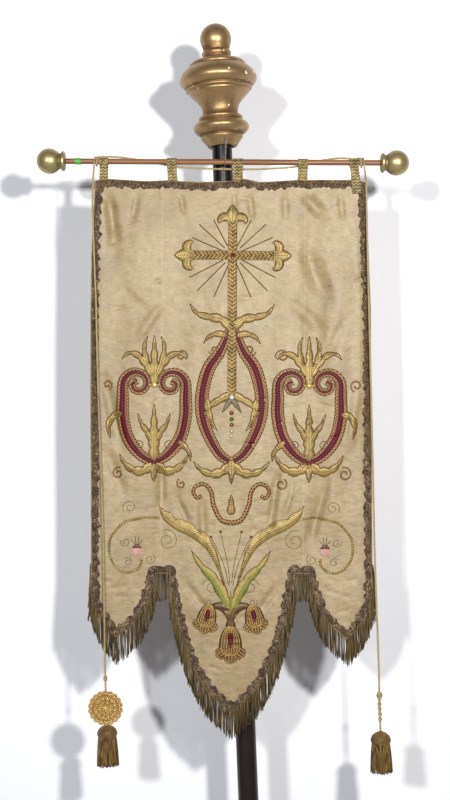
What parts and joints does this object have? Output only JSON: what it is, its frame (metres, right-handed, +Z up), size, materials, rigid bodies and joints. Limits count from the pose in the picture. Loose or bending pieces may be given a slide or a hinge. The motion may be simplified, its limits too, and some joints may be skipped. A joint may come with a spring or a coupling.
{
  "type": "church banner with crossbar, pole and foot",
  "caption": "Silk church banner with gold embroidery, dark metal lace and bullion fringe, hung by braid tabs from a wooden bar on a pole with a gilt finial.",
  "frame": {"origin": "centre of the foot's underside", "axes": "+Z up the pole; the banner's face looks along -Y; +X to the right of someone facing it"},
  "size_m": [0.7832, 0.4, 2.1031],
  "materials": {
    "silk": "slubbed woven silk",
    "galloon_lace": "tarnished metal lace",
    "bullion": "tarnished twisted metal thread",
    "gold_braid": "woven metal braid",
    "bar_wood": "thin varnish",
    "ball_gilt": "satin gold paint",
    "green_tape": "satin",
    "pole_paint": "dark gloss paint",
    "finial_gilt": "worn gold paint",
    "foot_iron": "satin black",
    "wire_steel": "bright",
    "gold_cord": "twisted",
    "gold_thread": "wound metal thread"
  },
  "bodies": {
    "root": {"panel": "silk", "galloon_top": "galloon_lace", "galloon_left": "galloon_lace", "galloon_right": "galloon_lace", "galloon_hem": "galloon_lace", "fringe": "bullion", "tab_1": "gold_braid", "tab_2": "gold_braid", "tab_3": "gold_braid", "tab_4": "gold_braid", "tab_5": "gold_braid", "crossbar": "bar_wood", "ball_left": "ball_gilt", "ball_right": "ball_gilt", "marking_tape": "green_tape", "pole": "pole_paint", "finial": "finial_gilt", "foot": "foot_iron", "hanger_wire": "wire_steel", "hitch_left": "gold_cord", "hitch_right": "gold_cord", "cord_left": "gold_cord", "cord_right": "gold_cord", "cord_back": "gold_cord", "whipping_left": "gold_thread", "knot_right": "gold_thread", "rosette": "gold_thread", "tassel_head_left": "gold_thread", "tassel_head_right": "gold_thread", "tassel_skirt_left": "gold_thread", "tassel_skirt_right": "gold_thread"}
  },
  "joints": []
}
